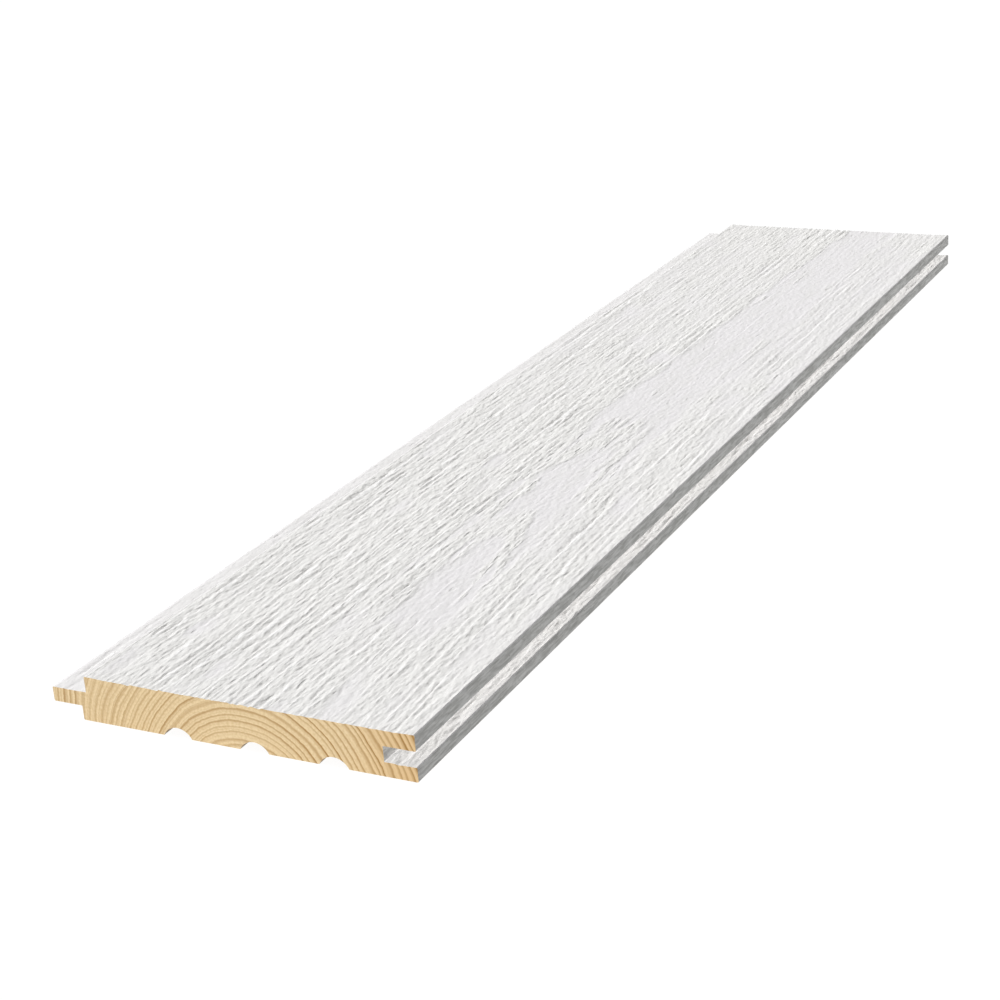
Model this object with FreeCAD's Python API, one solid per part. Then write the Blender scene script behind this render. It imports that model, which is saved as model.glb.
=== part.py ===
import FreeCAD, Part
import os

# Tongue and groove board: one length of planed softwood cladding, lying on its back with its face up.
# X runs across the board from the tongue to the groove, Y along it, and Z from the back up to the face.
# The origin is under the middle of the board, tongue included, at the level of the back.
# All sizes are in millimetres.

# Whole board
board_length = 740.0
cover_width = 156.0  # from the back shoulder to the lips: what each laid board adds to a wall
thickness = 20.0
edge_radius = 0.5  # easing of the long outer edges

# Tongue
tongue_length = 14.0  # out from the back shoulder
tongue_thickness = 6.5
face_gap = 3.0  # setback of the face shoulder, which stays open as a shadow gap between joined faces

# Groove, which takes the tongue of the next board
face_lip = 6.9  # thickness of the lip between the groove and the face
side_clearance = 0.15  # above the tongue, and again below it
tip_clearance = 0.3  # between the tongue's tip and the groove's floor

# Relief grooves along the back
relief_count = 3
relief_radius = 7.5
relief_depth = 4.2
relief_pitch = 36.25
relief_inset = 37.0  # from the lips to the middle of the nearest relief

# Places across the board
lip_x = (cover_width + tongue_length) / 2
tip_x = -lip_x
back_shoulder_x = tip_x + tongue_length
face_shoulder_x = back_shoulder_x + face_gap
groove_floor_x = lip_x - tongue_length - tip_clearance

# Heights above the back
back_z = 0.0
groove_top_z = thickness - face_lip
tongue_top_z = groove_top_z - side_clearance
tongue_bottom_z = tongue_top_z - tongue_thickness
groove_bottom_z = tongue_bottom_z - side_clearance
relief_axis_z = back_z + relief_depth - relief_radius

# Along the board
near_end_y = -board_length / 2
along_board = FreeCAD.Vector(0, board_length, 0)

# Section corners, from the tongue's tip round by the face to the back; the outer ones are eased
EASED = True
SHARP = False
section_corners = [
    (tip_x, tongue_top_z, EASED),
    (face_shoulder_x, tongue_top_z, SHARP),
    (face_shoulder_x, thickness, EASED),
    (lip_x, thickness, EASED),
    (lip_x, groove_top_z, EASED),
    (groove_floor_x, groove_top_z, SHARP),
    (groove_floor_x, groove_bottom_z, SHARP),
    (lip_x, groove_bottom_z, EASED),
    (lip_x, back_z, EASED),
    (back_shoulder_x, back_z, EASED),
    (back_shoulder_x, tongue_bottom_z, SHARP),
    (tip_x, tongue_bottom_z, EASED),
]


def near_end_point(x, z):
    """A place in the section, on the board's near end."""
    return FreeCAD.Vector(x, near_end_y, z)


def relief_disc(number):
    """Round cut for one relief; number 0 is nearest the groove, and the rest follow towards the tongue."""
    centre = near_end_point(lip_x - relief_inset - number * relief_pitch, relief_axis_z)
    return Part.Face(Part.Wire(Part.makeCircle(relief_radius, centre, along_board)))


def section():
    """The board's section at its near end, square-cornered, with the reliefs cut into the back."""
    points = [near_end_point(x, z) for x, z, _ in section_corners]
    blank = Part.Face(Part.makePolygon(points + points[:1]))
    discs = [relief_disc(number) for number in range(relief_count)]
    return blank.cut(discs).Faces[0]


def long_edge(solid, x, z):
    """The edge that runs the whole length of the board at this place in the section."""
    middle = Part.Vertex(x, 0, z)
    return min(solid.Edges, key=lambda edge: edge.distToShape(middle)[0])


def board():
    """The section run along the board, with its outer edges eased."""
    solid = section().extrude(along_board)
    outer_edges = [long_edge(solid, x, z) for x, z, eased in section_corners if eased]
    return solid.makeFillet(edge_radius, outer_edges)


os.makedirs("parts", exist_ok=True)
board().exportStep("parts/board.step")
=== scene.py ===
import math

import bmesh
import bpy
import numpy as np
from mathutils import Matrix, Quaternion, Vector


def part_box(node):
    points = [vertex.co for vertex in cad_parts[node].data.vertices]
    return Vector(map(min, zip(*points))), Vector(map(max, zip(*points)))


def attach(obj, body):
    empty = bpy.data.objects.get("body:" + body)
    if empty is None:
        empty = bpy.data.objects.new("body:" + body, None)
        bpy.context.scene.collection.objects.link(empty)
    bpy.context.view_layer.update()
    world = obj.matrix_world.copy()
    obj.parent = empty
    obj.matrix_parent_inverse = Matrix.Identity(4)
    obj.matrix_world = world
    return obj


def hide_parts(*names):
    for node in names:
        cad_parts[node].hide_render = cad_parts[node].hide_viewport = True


# White painted, brushed softwood board with raw sawn ends.
# All lengths are in metres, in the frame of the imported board: X across it from the tongue to the groove,
# Y along it from the near end, Z up from its back to its face.

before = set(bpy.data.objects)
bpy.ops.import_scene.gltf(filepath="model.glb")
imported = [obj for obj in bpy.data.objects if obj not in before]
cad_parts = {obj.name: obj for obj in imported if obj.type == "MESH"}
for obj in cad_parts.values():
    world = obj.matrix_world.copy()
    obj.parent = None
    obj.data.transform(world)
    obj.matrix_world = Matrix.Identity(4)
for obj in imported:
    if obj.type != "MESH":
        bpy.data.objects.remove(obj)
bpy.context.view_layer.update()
board_low, board_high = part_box("board")
board_width = board_high.x - board_low.x
board_length = board_high.y - board_low.y
board_thickness = board_high.z - board_low.z
MM = 0.001

# Mesh of the board
STATIONS = 212  # sections along the board
FACE_STEP = 0.5 * MM  # spacing of points across the face
LEDGE_STEP = 0.75 * MM  # on the tongue and the lower side of the groove
EDGE_STEP = 1.2 * MM  # on the upright edges
BACK_STEP = 8 * MM  # on what faces down
ARC_STEP = 0.25 * MM  # least spacing of points round an eased edge
FLAT_LEAST = 2 * MM  # a longer run of the outline is a flat, and a shorter one belongs to an arc
WELD = 0.001 * MM
FACING = 0.9  # a flat faces along an axis when its normal has this much of it
FACE_RIM = 0.5 * MM  # how far the eased edges of the face come down
SHARP_ANGLE = math.radians(50)  # edges that turn further than this look sharp
MAP_MARGIN = 0.01  # between the pieces of the bake map

# The back, with its reliefs
BACK_TOP = 4.5 * MM  # the reliefs reach no higher
BACK_FACING = 0.2  # how much of its normal points down, at the least
OUTER_LAND = 20 * MM  # the reliefs lie further in than this

# Order of the board's materials
FACE_FINISH, BACK_FINISH, END_FINISH = range(3)

# Streaks in the brushed wood: seed, mean spacing across the board and along it
STREAKS = {
    "wander": (1, 22 * MM, 130 * MM),
    "ripple": (8, 6 * MM, 24 * MM),
    "patch": (7, 30 * MM, 90 * MM),
    "long": (2, 5.2 * MM, 170 * MM),
    "middle": (6, 4.3 * MM, 50 * MM),
    "short": (3, 3.9 * MM, 18 * MM),
    "swell": (4, 12 * MM, 45 * MM),
}
STREAK_DEPTHS = {"long": 0.155 * MM, "middle": 0.11 * MM, "short": 0.1 * MM, "swell": 0.06 * MM}
STREAK_LEAN = 0.9  # makes the side of each ridge towards the tongue the steeper and narrower one
STREAK_FINEST = 2.0  # waves in one mean spacing, beyond which streaks fade out
STREAK_BROADEST = 0.5  # and short of which they do
LEAST_WAVES = 1e-6  # to divide by where there are none
WANDER_SIZE = 0.35 * MM
RIPPLE_SIZE = 0.15 * MM

# Brushed relief
RELIEF_SAMPLES = 2048  # round the section
RELIEF_FADE = 1.5 * MM  # from a long edge to where the streaks are full
SKIM_DEPTH = 0.29 * MM  # taken off all over what is brushed
SKIM_FADE = 10 * MM  # from a long edge to where that is full
PATCH_SPREAD = 0.2  # how unevenly the brush cuts from place to place
BRUSHED_MOST = 1.3  # how well it cuts at the best
SMOOTH_SHARE = 0.15  # of the relief, where the wood is too hard to brush
TONGUE_SHARE = 0.45  # of the relief, on the tongue
GROOVE_SHARE = 1.7  # in the groove
END_SHARE = 0.4  # at the sawn ends
EDGE_SHARE = 0.4  # on the upright edges

# Flame of hard wood along the face, where the rings lie almost level; each ring ends it in an arch
FLAME_X = 27 * MM
FLAME_HALF = 17 * MM
FLAME_EDGE = 7 * MM
FLAME_SWAY = 3 * MM
FLAME_FRAY = 1.2 * MM
FLAME_DRIFT = 6 * MM  # towards the groove, over the far half
FLAME_TAPER = 6 * MM  # and its loss of half width there
SLANT = 18 * MM  # how far the grain beside the groove slants inwards along the board
PITH_DEPTH = 35 * MM  # under the face at the near end
PITH_DROP = 24 * MM  # further down at the far end
PITH_DROP_REACH = 560 * MM
ARCH_TIPS = (85 * MM, 213 * MM, 346 * MM)  # from the near end
ARCH_HALF = 1.5 * MM  # of an arch's band of rough wood, in ring radius
ARCH_CORE = 0.3 * ARCH_HALF  # where the band is at its roughest
ARCH_SHARE = 0.75  # how well the brush cuts there
ARCH_LINE = 0.9 * MM  # spacing of the lines that follow the arch, in ring radius
ARCH_DEPTH = 0.12 * MM  # of those lines

# How well the brush cuts beside the flame, and across it at the near end
GROOVE_SIDE_SHARE = 0.7
TONGUE_SIDE_EXTRA = 0.2  # more, close to the flame
TONGUE_SIDE_CLOSE = 10 * MM
TONGUE_SIDE_REACH = 50 * MM
NEAR_PATCH_SHARE = 0.75
NEAR_PATCH_REACH = 115 * MM
NEAR_PATCH_CORE = 0.45 * NEAR_PATCH_REACH

# Row of dashes along the flame's edge towards the tongue
ROW_SHARE = 0.8  # how well the brush cuts there
ROW_INSET = 0.5 * FLAME_EDGE  # of its middle, from the flame's edge
ROW_HALF = 1.3 * FLAME_EDGE
ROW_CORE = 0.3 * FLAME_EDGE
ROW_FADE = 0.45 * board_length  # from the near end
ROW_END = 0.5 * board_length
ROW_STEP = 8 * MM  # towards the tongue, which the row takes at the second arch
ROW_STEP_PLACE = ARCH_TIPS[1]
ROW_STEP_HALF = 20 * MM

# Wear: how much less the brush has cut over the far half
WEAR = 0.42
WEAR_START = 0.3 * board_length
WEAR_FULL = 0.7 * board_length
WEAR_EASE = 0.7  # share of the wear that is gone again at the far end
WEAR_EASE_START = 0.86 * board_length

# Scar on the face
SCAR_X = -45 * MM
SCAR_FROM_NEAR_END = 547 * MM
SCAR_ACROSS = 1.4 * MM
SCAR_ALONG = 5 * MM
SCAR_DEPTH = 0.35 * MM

# Noise in the coats: size across the board and along it, and detail
COAT_NOISES = {
    "mottle": (6 * MM, 40 * MM, 2.0),
    "pebble": (2.4 * MM, 4.5 * MM, 1.0),
    "furrow": (2.0 * MM, 5.0 * MM, 1.0),
    "dash": (2.6 * MM, 9.0 * MM, 0.0),
    "streak": (1.1 * MM, 9 * MM, 3.0),
    "spot": (1.5 * MM, 4 * MM, 2.0),
    "grain": (3 * MM, 160 * MM, 2.0),
    "fibre": (0.5 * MM, 14 * MM, 3.0),
}

# White paint: a pair is where a value starts to tell and where it tells in full
PIT_RANGE = (0.75, 1.0)
PIT_IN_DASHES = 0.12  # how much more easily pits form there
PIT_IN_BRUSHED = 0.02
# painted shade at the bottom of the pits
PIT_PAINTED_SHADE = 0.25
PIT_SINK = -0.45
BRUSHED_RANGE = (0.1, 0.9)
MOTTLE_RANGE = (0.35, 0.75)
MOTTLE_SHADE = 0.5
# painted shade: the paint is drawn greyer down in the hollows
HOLLOW_RANGE = (0.4, 1.0)  # mm down
HOLLOW_PAINTED_SHADE = 0.2
CREST_RANGE = (-0.15, -0.45)  # mm down, and so above the mean, where the ridges get a painted highlight
GROOVE_PAINTED_SHADE = 0.5  # painted shade in the groove, under the upper lip
UPRIGHT_RANGE = (0.7, 1.0)
STREAK_RANGE = (0.35, 0.65)
SPOT_RANGE = (0.68, 0.75)
SPOT_SHADE = 0.8
GLOSS_RANGE = (0.3, 0.7)
PAINT_ROUGHNESS = (0.65, 0.8)
PAINT_SPECULAR = 0.15
PEBBLE_HEIGHT = 0.52
FURROW_HEIGHT = 0.75
PAINT_BUMP = (1.0, 1.08 * MM)  # strength and depth

# The back's thin coat, and bare reliefs darkened with painted shade
GRAIN_RANGE = (0.4, 0.7)
FIBRE_RANGE = (0.5, 0.8)
FIBRE_SHADE = 0.5
BARE_RANGE = (0.35, 0.65)
BACK_ROUGHNESS = 0.65
BACK_SPECULAR = 0.3
BACK_BUMP = (0.4, 0.05 * MM)

# Growth rings on the sawn ends, in millimetres; a reach is two places across the board
END_PITH_X = 7.0
END_PITH_Z = -22.0
END_RING_SPACING = 2.8
FALSE_RING_SPACING = 1.3  # of the faint lines between
STEEP_REACH = (-85.0, -45.0)
STEEP_SHARE = 0.45  # of the height above the pith, which counts for less by the tongue
RING_REACH = (-5.0, 80.0)
RING_STRENGTHS = (0.6, 1.2)
TIP_REACH = (-76.0, -66.0)  # on the tongue
TIP_STRENGTHS = (0.8, 0.0)
FALSE_REACH = (-40.0, 20.0)
FALSE_STRENGTHS = (0.4, 0.15)
AGED_REACH = (50.0, 85.0)
RING_PACE = 1.7  # how unevenly the rings are spaced, in rings
RING_PACE_CELLS = 0.11  # to the millimetre
RING_SPREAD = (0.5, 1.0)  # of darkness, from ring to ring
# Place in a ring, from its inner side to its outer one, and how dark it is there
RING_TONES = ((0.0, 0.35), (0.12, 0.0), (0.4, 0.05), (0.65, 0.35), (0.85, 1.0), (1.0, 0.8))

# Wood of the sawn ends; each noise has its cells to the metre and its detail
SWAY_NOISE = (55.0, 2.0)
RAGGED_NOISE = (400.0, 2.0)
FLECK_NOISE = (900.0, 3.0)
RING_SWAY = 2.5  # mm
RING_RAGGED = 0.8  # mm
FLECK_RANGE = (0.35, 0.7)
END_ROUGHNESS = 0.75
END_SPECULAR = 0.2
END_BUMP = (0.3, 0.1 * MM)

# Colours, as they show on a screen
SMOOTH_WHITE = (229, 227, 228)
BRUSHED_WHITE = (230, 229, 227)
WORN_WHITE = (222, 221, 219)
# painted highlight on the ridges
PAINTED_HIGHLIGHT_WHITE = (241, 240, 239)
# grey of the painted shade in hollows, in pits and in the groove
PAINTED_SHADE_GREY = (204, 203, 201)
# upright edges: greyer than the face as painted shade, with streaks and spots at random
SHADED_EDGE_PALE = (219, 219, 217)
SHADED_EDGE_DARK = (186, 186, 183)
SHADED_EDGE_SPOT = (160, 158, 152)
BACK_COAT = (228, 225, 219)
BACK_GRAIN = (219, 209, 190)
BACK_FIBRE = (205, 192, 168)
# bare wood in the reliefs, drawn darker as painted shade
SHADED_BARE_PALE = (160, 135, 102)
SHADED_BARE_DARK = (128, 105, 77)
EARLY_WOOD = (233, 210, 169)
EARLY_FLECK = (221, 196, 152)
EARLY_AGED = (224, 193, 146)
LATE_WOOD = (165, 126, 72)

# Stage
FLOOR_SIZE = 30.0
FLOOR_GLOW = 1.05
FLOOR_LIT = 0.97  # its grey where it takes a shadow
FLOOR_LIT_SHARE = 0.22  # of that in what shows, beside the glow
FLOOR_BOUNCE = 0.55  # its grey for the light that it throws back at the board
SKY_FILL = 0.30

# Lamps: the direction each stands in, its strength, its spread in degrees and whether it casts shadows
LAMPS = {
    "key": ((-0.77, 0.0, 0.64), 0.90, 8, False),
    "top": ((0.0, 0.0, 1.0), 0.17, 30, True),
    "front_bounce": ((0.06, -0.96, -0.26), 0.60, 20, False),
    "back_bounce": ((0.0, 0.96, -0.26), 0.35, 20, False),
}

# Camera, solved from the board's corners in the photograph
CAMERA_PLACE = Vector((0.44178, -0.95562, 0.37979))
CAMERA_AZIMUTH = math.radians(28.146)
CAMERA_ELEVATION = math.radians(21.417)
CAMERA_ROLL = math.radians(-4.307)
CAMERA_LENS_MM = 74.467
CAMERA_SENSOR_MM = 36.0


def smooth_step(low, high, value):
    """0 up to low, 1 from high on, and an even turn between; high may be the lesser of the two."""
    share = np.clip((value - low) / (high - low), 0, 1)
    return share * share * (3 - 2 * share)


# Section of the board


def end_outline(node):
    """The rim of the node's near end as (x, z) points, counterclockwise as seen from that end."""
    bm = bmesh.new()
    bm.from_mesh(node.data)
    bmesh.ops.remove_doubles(bm, verts=bm.verts, dist=WELD)
    near_end = {face for face in bm.faces if face.normal.y < -FACING}
    beside = {}
    for edge in bm.edges:
        if sum(face in near_end for face in edge.link_faces) == 1:
            first, second = edge.verts
            beside.setdefault(first, []).append(second)
            beside.setdefault(second, []).append(first)
    start = min(beside, key=lambda vert: (round(vert.co.z / WELD), vert.co.x))
    walk = [start, max(beside[start], key=lambda vert: vert.co.x)]
    while walk[-1] != start:
        walk.append(next(vert for vert in beside[walk[-1]] if vert != walk[-2]))
    points = [(vert.co.x, vert.co.z) for vert in walk[:-1]]
    bm.free()
    return np.array(points)


def flat_finish(normal, place):
    """Spacing of points, and share of the brushed relief, on a flat with this normal at this place."""
    if normal[1] < -FACING:
        return BACK_STEP, 0.0
    if normal[1] < FACING:
        return EDGE_STEP, EDGE_SHARE
    if place[1] > board_high.z - WELD:
        return FACE_STEP, 1.0
    return LEDGE_STEP, TONGUE_SHARE if place[0] < 0 else GROOVE_SHARE


def board_section(rim):
    """Points round the section, close where brushed, with their share of relief and way to an edge."""
    points = []
    shares = []
    insets = []
    for start, end in zip(rim, np.roll(rim, -1, axis=0)):
        run = end - start
        length = np.hypot(*run)
        if length < FLAT_LEAST:
            if not points or np.hypot(*(start - points[-1])) > ARC_STEP:
                points.append(start)
                shares.append(0.0)
                insets.append(0.0)
            continue
        step, share = flat_finish(np.array([run[1], -run[0]]) / length, start)
        places = np.linspace(0, length, math.ceil(length / step), endpoint=False)
        points.extend(start + np.outer(places / length, run))
        shares.extend(np.full(len(places), share))
        insets.extend(np.minimum(places, length - places))
    return np.array(points), np.array(shares), np.array(insets)


def outward(points):
    """Unit normals of the closed section at its points."""
    runs = np.roll(points, -1, axis=0) - points
    sides = np.stack([runs[:, 1], -runs[:, 0]], axis=1)
    sides /= np.linalg.norm(sides, axis=1, keepdims=True)
    normals = sides + np.roll(sides, 1, axis=0)
    return normals / np.linalg.norm(normals, axis=1, keepdims=True)


def girth_places(points):
    """Distance of each point along the section from the first one, and the whole way round."""
    runs = np.linalg.norm(np.roll(points, -1, axis=0) - points, axis=1)
    return np.concatenate([[0], np.cumsum(runs)[:-1]]), runs.sum()


def back_and_reliefs(points, normals):
    """Which points of the section start a run of the back, and which of those lie in its reliefs."""
    x, z = points.T
    downward = normals[:, 1] < -BACK_FACING
    back = (z + np.roll(z, -1)) / 2 < board_low.z + BACK_TOP
    back &= downward & np.roll(downward, -1)
    inner = (x > board_low.x + OUTER_LAND) & (x < board_high.x - OUTER_LAND)
    return back, back & inner & (z > board_low.z + WELD)


# Brushed relief


def streaks(seed, pitch, reach, girth):
    """Random streaks along the board, spread 1 about 0, with this mean spacing across and along."""
    draws = np.random.default_rng(seed).standard_normal((STATIONS, RELIEF_SAMPLES))
    across = np.fft.rfftfreq(RELIEF_SAMPLES, girth / RELIEF_SAMPLES)[None, :] * pitch
    along = np.fft.fftfreq(STATIONS, board_length / STATIONS)[:, None] * reach
    not_fine = np.exp(-(across**2 + along**2) / STREAK_FINEST**2)
    slope = np.fft.irfft2(np.fft.rfft2(draws) * not_fine * 1j * across, s=draws.shape)
    leaning = np.exp(STREAK_LEAN * slope / slope.std())
    not_broad = (1 - np.exp(-((across / STREAK_BROADEST) ** 2))) / np.maximum(across, LEAST_WAVES)
    field = np.fft.irfft2(np.fft.rfft2(leaning) * not_broad / 1j, s=draws.shape)
    return field / field.std()


def read_round(field, places, girth):
    """The field's values at these places round the section, station by station."""
    samples = np.arange(RELIEF_SAMPLES) * girth / RELIEF_SAMPLES
    rows = zip(places, field)
    return np.array([np.interp(row, samples, values, period=girth) for row, values in rows])


def taper(from_near_end):
    """Share of the tree's taper at each distance from the near end: quick at first, then level."""
    left = 1 - np.minimum(from_near_end / PITH_DROP_REACH, 1)
    return 1 - left**2


def pith_depth(from_near_end):
    """How far the tree's middle lies under the face, which is deeper towards the far end."""
    return PITH_DEPTH + PITH_DROP * taper(from_near_end)


def arches(across, half, from_near_end):
    """How well the brush cuts in the bands of rough wood that end the flame, and the lines along them."""
    radius = np.hypot(across, pith_depth(from_near_end))
    inside = smooth_step(FLAME_EDGE, 0, np.abs(across) - half)
    cut = np.zeros_like(across)
    lines = np.zeros_like(across)
    for tip in ARCH_TIPS:
        from_ring = radius - pith_depth(tip) + ARCH_HALF / 2
        band = smooth_step(ARCH_HALF, ARCH_CORE, np.abs(from_ring)) * inside
        cut = np.maximum(cut, ARCH_SHARE * band)
        turn = math.tau * from_ring / ARCH_LINE
        leaning_wave = np.sin(turn) - np.sin(2 * turn) / 2
        lines += band * leaning_wave
    return cut, lines


def dash_row(across, half, from_near_end):
    """Where the row of dashes is, 1 along its middle."""
    stepped = ROW_STEP * smooth_step(-ROW_STEP_HALF, ROW_STEP_HALF, from_near_end - ROW_STEP_PLACE)
    from_middle = np.abs(across + half - ROW_INSET + stepped)
    return smooth_step(ROW_HALF, ROW_CORE, from_middle) * smooth_step(ROW_END, ROW_FADE, from_near_end)


def unworn(from_near_end):
    """Share of the brushing that the wear leaves at each distance from the near end."""
    worn = smooth_step(WEAR_START, WEAR_FULL, from_near_end)
    worn *= 1 - WEAR_EASE * smooth_step(WEAR_EASE_START, board_length, from_near_end)
    return 1 - WEAR * worn


def flame(x, y):
    """How well the brush cuts at each place on the face, how dashed it is, and lines along the arches."""
    from_near_end = y - board_low.y + np.zeros_like(x)
    far = smooth_step(board_length / 2, board_length, from_near_end)
    across = x - FLAME_X - FLAME_DRIFT * far
    half = FLAME_HALF - FLAME_TAPER * far
    arch, lines = arches(across, half, from_near_end)
    row = dash_row(across, half, from_near_end)
    close = smooth_step(TONGUE_SIDE_REACH, TONGUE_SIDE_CLOSE, -across - half)
    tongue_side = smooth_step(0, FLAME_EDGE, -across - half) * (1 + TONGUE_SIDE_EXTRA * close)
    groove_side = GROOVE_SIDE_SHARE * smooth_step(0, FLAME_EDGE, across - half)
    near_patch = NEAR_PATCH_SHARE * smooth_step(NEAR_PATCH_REACH, NEAR_PATCH_CORE, from_near_end)
    brushed = np.maximum.reduce([tongue_side, groove_side, arch, near_patch, ROW_SHARE * row])
    left = unworn(from_near_end)
    return brushed * left, np.maximum(arch, row) * left, lines


def scar(x, y):
    """Depth of the small scar on the face."""
    across = (x - SCAR_X) / SCAR_ACROSS
    along = (y - board_low.y - SCAR_FROM_NEAR_END) / SCAR_ALONG
    return SCAR_DEPTH * np.exp(-(across**2) - along**2)


def relief(points, shares, insets):
    """Depth at each point of each station, the streaks' part in it, and how brushed and dashed it is."""
    x = points[:, 0]
    y = np.linspace(board_low.y, board_high.y, STATIONS)[:, None]
    places, girth = girth_places(points)
    fields = {name: streaks(*kind, girth) for name, kind in STREAKS.items()}
    straight = np.tile(places, (STATIONS, 1))
    wander = read_round(fields["wander"], straight, girth)
    ripple = read_round(fields["ripple"], straight, girth)
    by_groove = smooth_step(FLAME_X - FLAME_HALF, FLAME_X + FLAME_HALF, x)
    bent = places + WANDER_SIZE * wander + RIPPLE_SIZE * ripple
    bent -= SLANT * taper(y - board_low.y) * by_groove
    cut = {name: read_round(fields[name], bent, girth) for name in ("patch", *STREAK_DEPTHS)}
    on_face = points[:, 1] > board_high.z - FACE_RIM
    brushed, dashed, lines = flame(x + FLAME_SWAY * wander + FLAME_FRAY * cut["swell"], y)
    brushed = np.clip(brushed * (1 + PATCH_SPREAD * cut["patch"]), 0, BRUSHED_MOST)
    brushed = np.where(on_face, brushed, shares)
    depth = sum(size * cut[name] for name, size in STREAK_DEPTHS.items())
    depth *= np.where(on_face, SMOOTH_SHARE + (1 - SMOOTH_SHARE) * brushed, 1)
    depth += (ARCH_DEPTH * lines + scar(x, y)) * on_face
    depth *= shares * smooth_step(0, RELIEF_FADE, insets)
    depth[[0, -1]] *= END_SHARE
    skim = SKIM_DEPTH * np.minimum(shares, 1) * smooth_step(0, SKIM_FADE, insets)
    return np.maximum(depth + skim, 0), depth, brushed * (shares > 0), dashed * on_face


# The board's mesh


def fold_corners(depth):
    """The order of each quad's corners that folds it along the streak it lies in and not across it."""
    slope = np.roll(depth, -1, axis=1) - np.roll(depth, 1, axis=1)
    beside = np.roll(slope, -1, axis=1)
    crossing = np.abs(slope[:-1] - beside[1:]) > np.abs(slope[1:] - beside[:-1])
    return (np.arange(4) + crossing[..., None]) % 4


def side_quads(count, order):
    """Corners of the quads between the stations, with this many points to a station."""
    station, column = np.meshgrid(np.arange(STATIONS - 1), np.arange(count), indexing="ij")
    here = station * count + column
    beside = station * count + (column + 1) % count
    corners = np.stack([here, here + count, beside + count, beside], axis=-1)
    return np.take_along_axis(corners, order, axis=-1).reshape(-1, 4)


def bake_map(mesh, points, order):
    """Lays the long sides out flat as one strip, and both ends beside it, as long as the strip."""
    places, girth = girth_places(points)
    places = np.append(places, girth) / board_length
    heights = np.linspace(0, 1, STATIONS)
    sides = np.empty((STATIONS - 1, len(points), 4, 2))
    sides[..., 0] = np.stack([places[:-1], places[:-1], places[1:], places[1:]], axis=1)
    sides[..., 1] = np.stack([heights[:-1], heights[1:], heights[1:], heights[:-1]], axis=1)[:, None, :]
    sides = np.take_along_axis(sides, order[..., None], axis=2)
    near = np.stack([points[:, 1] - board_low.z, points[:, 0] - board_low.x], axis=1) / board_width
    near[:, 0] += girth / board_length + MAP_MARGIN
    far = near[::-1] + (board_thickness / board_width + MAP_MARGIN, 0)
    corners = np.concatenate([sides.reshape(-1, 2), near, far])
    layer = mesh.uv_layers.new(name="OFBake")
    layer.uv.foreach_set("vector", corners.astype(np.float32).ravel())


def keep_on_points(mesh, name, values):
    """Stores one number for each point of the mesh, for the materials to read."""
    kept = mesh.attributes.new(name, "FLOAT", "POINT")
    kept.data.foreach_set("value", values.astype(np.float32).ravel())


def board_mesh(rim):
    """The board as one closed mesh: its relief along the section, and a flat cut at each end."""
    points, shares, insets = board_section(rim)
    depth, hollow, brushed, dashed = relief(points, shares, insets)
    normals = outward(points)
    count = len(points)
    verts = np.empty((STATIONS, count, 3))
    verts[:, :, 0] = points[:, 0] - depth * normals[:, 0]
    verts[:, :, 1] = np.linspace(board_low.y, board_high.y, STATIONS)[:, None]
    verts[:, :, 2] = points[:, 1] - depth * normals[:, 1]
    order = fold_corners(depth)
    near = np.arange(count)
    far = near[::-1] + (STATIONS - 1) * count
    faces = [*side_quads(count, order).tolist(), near.tolist(), far.tolist()]
    mesh = bpy.data.meshes.new("board_visual")
    mesh.from_pydata(verts.reshape(-1, 3), [], faces)
    bake_map(mesh, points, order)
    back, shaded_reliefs = back_and_reliefs(points, normals)
    keep_on_points(mesh, "hollow", hollow / MM)
    keep_on_points(mesh, "brushed", brushed)
    keep_on_points(mesh, "dashed", dashed)
    # marks the groove, where the paint is given painted shade
    keep_on_points(mesh, "shaded_groove", np.tile(shares == GROOVE_SHARE, (STATIONS, 1)))
    keep_on_points(mesh, "upright", np.tile(np.abs(normals[:, 0]), (STATIONS, 1)))
    keep_on_points(mesh, "shaded_reliefs", np.tile(shaded_reliefs, (STATIONS, 1)))
    finish = np.tile(np.where(back, BACK_FINISH, FACE_FINISH), STATIONS - 1)
    finish = np.append(finish, [END_FINISH, END_FINISH])
    mesh.polygons.foreach_set("material_index", finish.astype(np.int32))
    mesh.shade_smooth()
    mesh.set_sharp_from_angle(angle=SHARP_ANGLE)
    mesh.update()
    return mesh


# Shader nodes


def srgb(red, green, blue):
    """A colour given as it shows on a screen, 0 to 255, in the linear values that shaders take."""
    shares = np.array([red, green, blue]) / 255
    linear = np.where(shares <= 0.04045, shares / 12.92, ((shares + 0.055) / 1.055) ** 2.4)
    return (*linear.tolist(), 1.0)


def grey(value):
    """A grey of this linear value."""
    return (value, value, value, 1.0)


def plug(tree, node, inputs):
    """Gives the node its inputs, each of them a value or another node's output."""
    for name, value in inputs.items():
        if isinstance(value, bpy.types.NodeSocket):
            tree.links.new(value, node.inputs[name])
        else:
            node.inputs[name].default_value = value


def add(tree, kind, inputs, **settings):
    """A new shader node with its settings and inputs."""
    node = tree.nodes.new(kind)
    for name, value in settings.items():
        setattr(node, name, value)
    plug(tree, node, inputs)
    return node


def calculate(tree, operation, *values):
    """The output of a Math node."""
    return add(tree, "ShaderNodeMath", dict(enumerate(values)), operation=operation).outputs[0]


def blend_colours(tree, share, first, second):
    """first where share is 0, second where it is 1; each is a screen colour or another node's output."""
    colours = [srgb(*colour) if isinstance(colour, tuple) else colour for colour in (first, second)]
    inputs = {0: share, 6: colours[0], 7: colours[1]}
    return add(tree, "ShaderNodeMix", inputs, data_type="RGBA").outputs[2]


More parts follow.
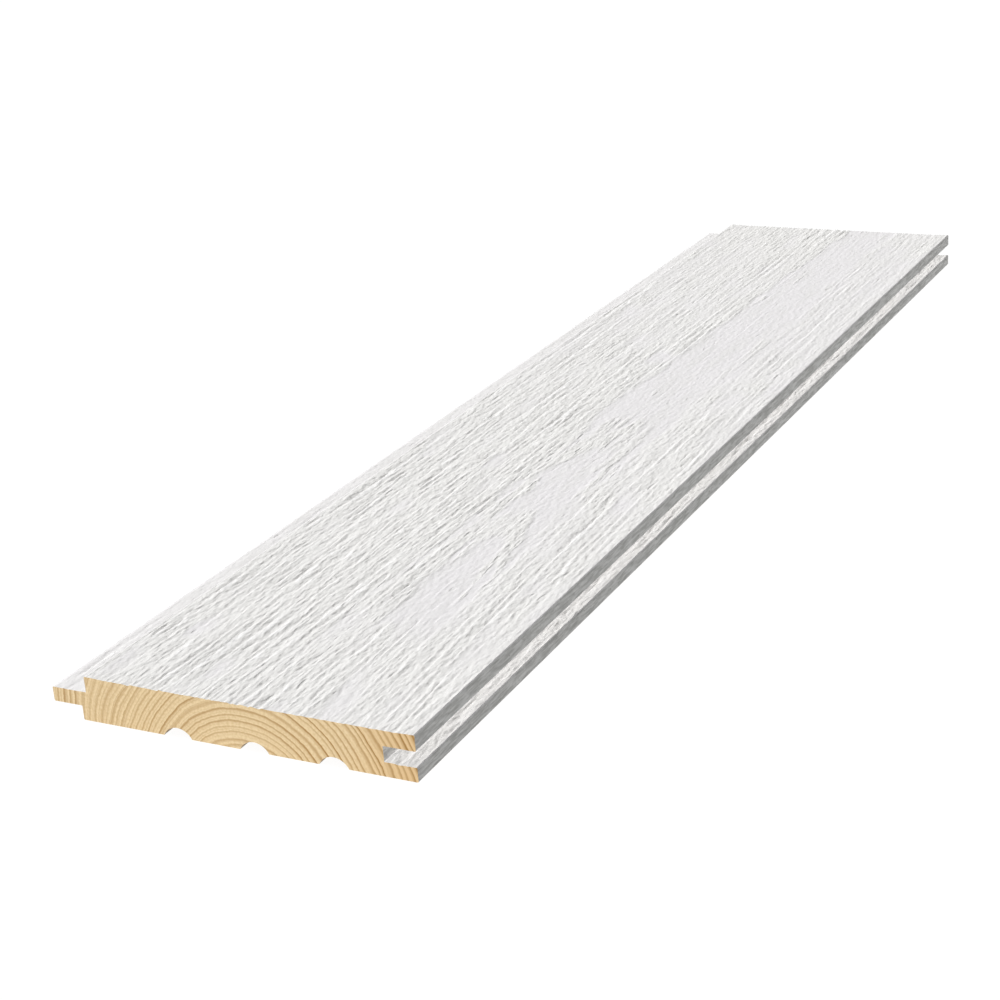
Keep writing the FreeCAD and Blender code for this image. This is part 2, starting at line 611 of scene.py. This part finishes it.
def remap(tree, value, low, high, to_low=0.0, to_high=1.0):
    """value, taken from low..high to to_low..to_high and held there."""
    inputs = {0: value, 1: low, 2: high, 3: to_low, 4: to_high}
    return add(tree, "ShaderNodeMapRange", inputs, interpolation_type="SMOOTHSTEP").outputs[0]


def attribute(tree, name):
    """The number that the mesh keeps on its points under this name."""
    return add(tree, "ShaderNodeAttribute", {}, attribute_name=name).outputs["Fac"]


def board_place(tree):
    """The place that is being shaded, in the board's own frame."""
    return add(tree, "ShaderNodeTexCoord", {}).outputs["Object"]


def noise(tree, place, cells, detail):
    """Noise with this many cells to one unit of place."""
    inputs = {"Vector": place, "Scale": cells, "Detail": detail}
    return add(tree, "ShaderNodeTexNoise", inputs).outputs["Fac"]


def coat_noise(tree, name):
    """Noise of this name in the coats, drawn out along the board."""
    across, along, detail = COAT_NOISES[name]
    scale = (1 / across, 1 / along, 1 / across)
    scaled = add(tree, "ShaderNodeMapping", {"Vector": board_place(tree), "Scale": scale})
    return noise(tree, scaled.outputs[0], 1.0, detail)


def new_material(name):
    """A material, its node tree and its shader."""
    material = bpy.data.materials.new(name)
    material.use_nodes = True
    tree = material.node_tree
    return material, tree, tree.nodes["Principled BSDF"]


def cleared_tree(owner):
    """The node tree of a material or world, with nothing in it."""
    owner.use_nodes = True
    owner.node_tree.nodes.clear()
    return owner.node_tree


def surface_bump(tree, height, strength, depth):
    """The normal of a surface with this fine relief."""
    inputs = {"Height": height, "Strength": strength, "Distance": depth}
    return add(tree, "ShaderNodeBump", inputs).outputs[0]


# Materials of the board


def paint_pits(tree, brushed):
    """Small pits in the paint: 1 at their bottom."""
    dashed = attribute(tree, "dashed")
    dashes = calculate(tree, "MULTIPLY_ADD", dashed, PIT_IN_DASHES, coat_noise(tree, "dash"))
    return remap(tree, calculate(tree, "MULTIPLY_ADD", brushed, PIT_IN_BRUSHED, dashes), *PIT_RANGE)


def brushed_colour(tree, brushed, mottle, pit):
    """Paint on brushed wood: painted highlights on the ridges, painted shade in hollows, pits and the
    groove.
    """
    hollow = attribute(tree, "hollow")
    coat = blend_colours(tree, remap(tree, brushed, *BRUSHED_RANGE), SMOOTH_WHITE, BRUSHED_WHITE)
    worn = blend_colours(tree, remap(tree, mottle, *MOTTLE_RANGE, 0, MOTTLE_SHADE), coat, WORN_WHITE)
    # painted highlight: the paint is drawn whiter on the ridges
    painted_highlight = blend_colours(tree, remap(tree, hollow, *CREST_RANGE), worn, PAINTED_HIGHLIGHT_WHITE)
    # painted shade: greyer down in the hollows and at the bottom of pits
    in_hollows = remap(tree, hollow, *HOLLOW_RANGE, 0, HOLLOW_PAINTED_SHADE)
    painted_shade = calculate(tree, "MAXIMUM", in_hollows, calculate(tree, "MULTIPLY", pit, PIT_PAINTED_SHADE))
    # painted shade in the groove, under the upper lip
    painted_shade = calculate(tree, "MULTIPLY_ADD", attribute(tree, "shaded_groove"), GROOVE_PAINTED_SHADE, painted_shade)
    return blend_colours(tree, painted_shade, painted_highlight, PAINTED_SHADE_GREY)


def shaded_edge_colour(tree):
    """The paint on the planed upright edges: greyer than the face, which is painted shade, and streaked
    and spotted.
    """
    streak = remap(tree, coat_noise(tree, "streak"), *STREAK_RANGE)
    spot = remap(tree, coat_noise(tree, "spot"), *SPOT_RANGE, 0, SPOT_SHADE)
    return blend_colours(tree, spot, blend_colours(tree, streak, SHADED_EDGE_PALE, SHADED_EDGE_DARK), SHADED_EDGE_SPOT)


def paint_height(tree, brushed, pit):
    """Fine relief of the paint: pebbled all over, furrowed where the wood is brushed, and pitted."""
    furrow_height = remap(tree, brushed, 0, 1, 0, FURROW_HEIGHT)
    furrow = calculate(tree, "MULTIPLY", coat_noise(tree, "furrow"), furrow_height)
    grain = calculate(tree, "MULTIPLY_ADD", coat_noise(tree, "pebble"), PEBBLE_HEIGHT, furrow)
    return calculate(tree, "MULTIPLY_ADD", pit, PIT_SINK, grain)


def white_paint():
    """Matt white paint over brushed wood and over the planed upright edges."""
    material, tree, shader = new_material("white_paint")
    brushed = attribute(tree, "brushed")
    mottle = coat_noise(tree, "mottle")
    pit = paint_pits(tree, brushed)
    # the upright edges take a greyer paint, which is painted shade
    upright = remap(tree, attribute(tree, "upright"), *UPRIGHT_RANGE)
    face_colour = brushed_colour(tree, brushed, mottle, pit)
    plug(tree, shader, {
        "Base Color": blend_colours(tree, upright, face_colour, shaded_edge_colour(tree)),
        "Roughness": remap(tree, mottle, *GLOSS_RANGE, *PAINT_ROUGHNESS),
        "Specular IOR Level": PAINT_SPECULAR,
        "Normal": surface_bump(tree, paint_height(tree, brushed, pit), *PAINT_BUMP),
    })
    return material


def thin_paint():
    """The back's thinner coat over planed wood: the grain shows through it; the reliefs are bare and
    painted darker as shade.
    """
    material, tree, shader = new_material("thin_back_paint")
    fibre = coat_noise(tree, "fibre")
    grain = remap(tree, coat_noise(tree, "grain"), *GRAIN_RANGE)
    coat = blend_colours(tree, grain, BACK_COAT, BACK_GRAIN)
    streaked = blend_colours(tree, remap(tree, fibre, *FIBRE_RANGE, 0, FIBRE_SHADE), coat, BACK_FIBRE)
    wood = blend_colours(tree, remap(tree, fibre, *BARE_RANGE), SHADED_BARE_PALE, SHADED_BARE_DARK)
    plug(tree, shader, {
        "Base Color": blend_colours(tree, attribute(tree, "shaded_reliefs"), streaked, wood),
        "Roughness": BACK_ROUGHNESS,
        "Specular IOR Level": BACK_SPECULAR,
        "Normal": surface_bump(tree, fibre, *BACK_BUMP),
    })
    return material


def ring_radius(tree, x_mm, z_mm):
    """Distance from the pith in mm, with the rings drawn steeper by the tongue."""
    across = calculate(tree, "SUBTRACT", x_mm, END_PITH_X)
    height = calculate(tree, "SUBTRACT", z_mm, END_PITH_Z)
    kept = calculate(tree, "MULTIPLY", height, remap(tree, x_mm, *STEEP_REACH, STEEP_SHARE, 1))
    square = calculate(tree, "MULTIPLY", across, across)
    return calculate(tree, "SQRT", calculate(tree, "MULTIPLY_ADD", kept, kept, square))


def ring_shade(tree, radius, spacing):
    """Darkness of the late wood, which rises through each ring to a sharp outer edge; rings differ."""
    waves = {"W": radius, "Scale": RING_PACE_CELLS, "Detail": 1.0}
    pace = add(tree, "ShaderNodeTexNoise", waves, noise_dimensions="1D").outputs["Fac"]
    ring = calculate(tree, "MULTIPLY_ADD", pace, RING_PACE, calculate(tree, "DIVIDE", radius, spacing))
    number = calculate(tree, "FLOOR", ring)
    chance = add(tree, "ShaderNodeTexWhiteNoise", {"W": number}, noise_dimensions="1D").outputs["Value"]
    late = add(tree, "ShaderNodeValToRGB", {"Fac": calculate(tree, "FRACT", ring)})
    ramp = late.color_ramp
    while len(ramp.elements) < len(RING_TONES):
        ramp.elements.new(0.5)
    for element, (position, tone) in zip(ramp.elements, RING_TONES):
        element.position = position
        element.color = grey(tone)
    return calculate(tree, "MULTIPLY", late.outputs["Color"], remap(tree, chance, 0, 1, *RING_SPREAD))


def ring_darkness(tree, x_mm, radius):
    """How dark the rings make the wood: most towards the groove, with faint lines between them."""
    faint = remap(tree, x_mm, *FALSE_REACH, *FALSE_STRENGTHS)
    between = calculate(tree, "MULTIPLY", ring_shade(tree, radius, FALSE_RING_SPACING), faint)
    on_tongue = remap(tree, x_mm, *TIP_REACH, *TIP_STRENGTHS)
    strength = calculate(tree, "MAXIMUM", remap(tree, x_mm, *RING_REACH, *RING_STRENGTHS), on_tongue)
    return calculate(tree, "MULTIPLY_ADD", ring_shade(tree, radius, END_RING_SPACING), strength, between)


def end_grain():
    """Raw sawn pine across the grain: growth rings about a pith under the back, darker by the groove."""
    material, tree, shader = new_material("raw_end_grain")
    place = board_place(tree)
    apart = add(tree, "ShaderNodeSeparateXYZ", {"Vector": place})
    x_mm = calculate(tree, "DIVIDE", apart.outputs[0], MM)
    z_mm = calculate(tree, "DIVIDE", apart.outputs[2], MM)
    fleck = noise(tree, place, *FLECK_NOISE)
    round_pith = ring_radius(tree, x_mm, z_mm)
    swayed = calculate(tree, "MULTIPLY_ADD", noise(tree, place, *SWAY_NOISE), RING_SWAY, round_pith)
    radius = calculate(tree, "MULTIPLY_ADD", noise(tree, place, *RAGGED_NOISE), RING_RAGGED, swayed)
    pale = blend_colours(tree, remap(tree, fleck, *FLECK_RANGE), EARLY_WOOD, EARLY_FLECK)
    aged = blend_colours(tree, remap(tree, x_mm, *AGED_REACH), pale, EARLY_AGED)
    plug(tree, shader, {
        "Base Color": blend_colours(tree, ring_darkness(tree, x_mm, radius), aged, LATE_WOOD),
        "Roughness": END_ROUGHNESS,
        "Specular IOR Level": END_SPECULAR,
        "Normal": surface_bump(tree, fleck, *END_BUMP),
    })
    return material


# Stage, light and camera


def seen_rays(tree):
    """1 for rays that show the stage itself: from the camera, in a gloss or through glass."""
    path = add(tree, "ShaderNodeLightPath", {}).outputs
    mirrored = calculate(tree, "MAXIMUM", path["Is Glossy Ray"], path["Is Transmission Ray"])
    return calculate(tree, "MAXIMUM", path["Is Camera Ray"], mirrored)


def white_floor():
    """A white floor at the board's back, which keeps a faint shadow."""
    bpy.ops.mesh.primitive_plane_add(size=FLOOR_SIZE, location=(0, 0, board_low.z))
    floor = bpy.context.object
    floor.name = "floor"
    material = bpy.data.materials.new("white_floor")
    tree = cleared_tree(material)
    lit = add(tree, "ShaderNodeBsdfDiffuse", {"Color": grey(FLOOR_LIT)}).outputs[0]
    glow = add(tree, "ShaderNodeEmission", {"Color": grey(1.0), "Strength": FLOOR_GLOW}).outputs[0]
    shown = add(tree, "ShaderNodeMixShader", {0: FLOOR_LIT_SHARE, 1: glow, 2: lit}).outputs[0]
    dim = add(tree, "ShaderNodeBsdfDiffuse", {"Color": grey(FLOOR_BOUNCE)}).outputs[0]
    surface = add(tree, "ShaderNodeMixShader", {0: seen_rays(tree), 1: dim, 2: shown}).outputs[0]
    add(tree, "ShaderNodeOutputMaterial", {"Surface": surface})
    floor.data.materials.append(material)


def white_world():
    """An even sky that fills in the shadows and shows as white."""
    world = bpy.data.worlds.new("studio")
    bpy.context.scene.world = world
    tree = cleared_tree(world)
    seen = add(tree, "ShaderNodeBackground", {"Color": grey(1.0), "Strength": 1.0}).outputs[0]
    sky = add(tree, "ShaderNodeBackground", {"Color": grey(1.0), "Strength": SKY_FILL}).outputs[0]
    surface = add(tree, "ShaderNodeMixShader", {0: seen_rays(tree), 1: sky, 2: seen}).outputs[0]
    add(tree, "ShaderNodeOutputWorld", {"Surface": surface})


def lamp(name, towards, strength, spread, shadow):
    """A broad, distant lamp that stands in this direction; strength 1 lights a white face as white."""
    light = bpy.data.lights.new(name, "SUN")
    light.energy = strength * math.pi
    light.angle = math.radians(spread)
    light.use_shadow = shadow
    holder = bpy.data.objects.new(name, light)
    holder.rotation_mode = "QUATERNION"
    holder.rotation_quaternion = Vector(towards).to_track_quat("Z", "Y")
    bpy.context.scene.collection.objects.link(holder)


def camera():
    """The photograph's view, a little tilted."""
    data = bpy.data.cameras.new("camera")
    data.lens = CAMERA_LENS_MM
    data.sensor_width = CAMERA_SENSOR_MM
    holder = bpy.data.objects.new("camera", data)
    ahead = Vector((
        -math.sin(CAMERA_AZIMUTH) * math.cos(CAMERA_ELEVATION),
        math.cos(CAMERA_AZIMUTH) * math.cos(CAMERA_ELEVATION),
        -math.sin(CAMERA_ELEVATION),
    ))
    holder.location = CAMERA_PLACE
    holder.rotation_mode = "QUATERNION"
    holder.rotation_quaternion = ahead.to_track_quat("-Z", "Y") @ Quaternion((0, 0, 1), CAMERA_ROLL)
    bpy.context.scene.collection.objects.link(holder)
    bpy.context.scene.camera = holder


board = bpy.data.objects.new("tongue_and_groove_board", board_mesh(end_outline(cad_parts["board"])))
bpy.context.scene.collection.objects.link(board)
for finish in (white_paint(), thin_paint(), end_grain()):
    board.data.materials.append(finish)
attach(board, "root")
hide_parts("board")

white_floor()
white_world()
for name, kind in LAMPS.items():
    lamp(name, *kind)
camera()
bpy.context.scene.view_settings.view_transform = "Standard"
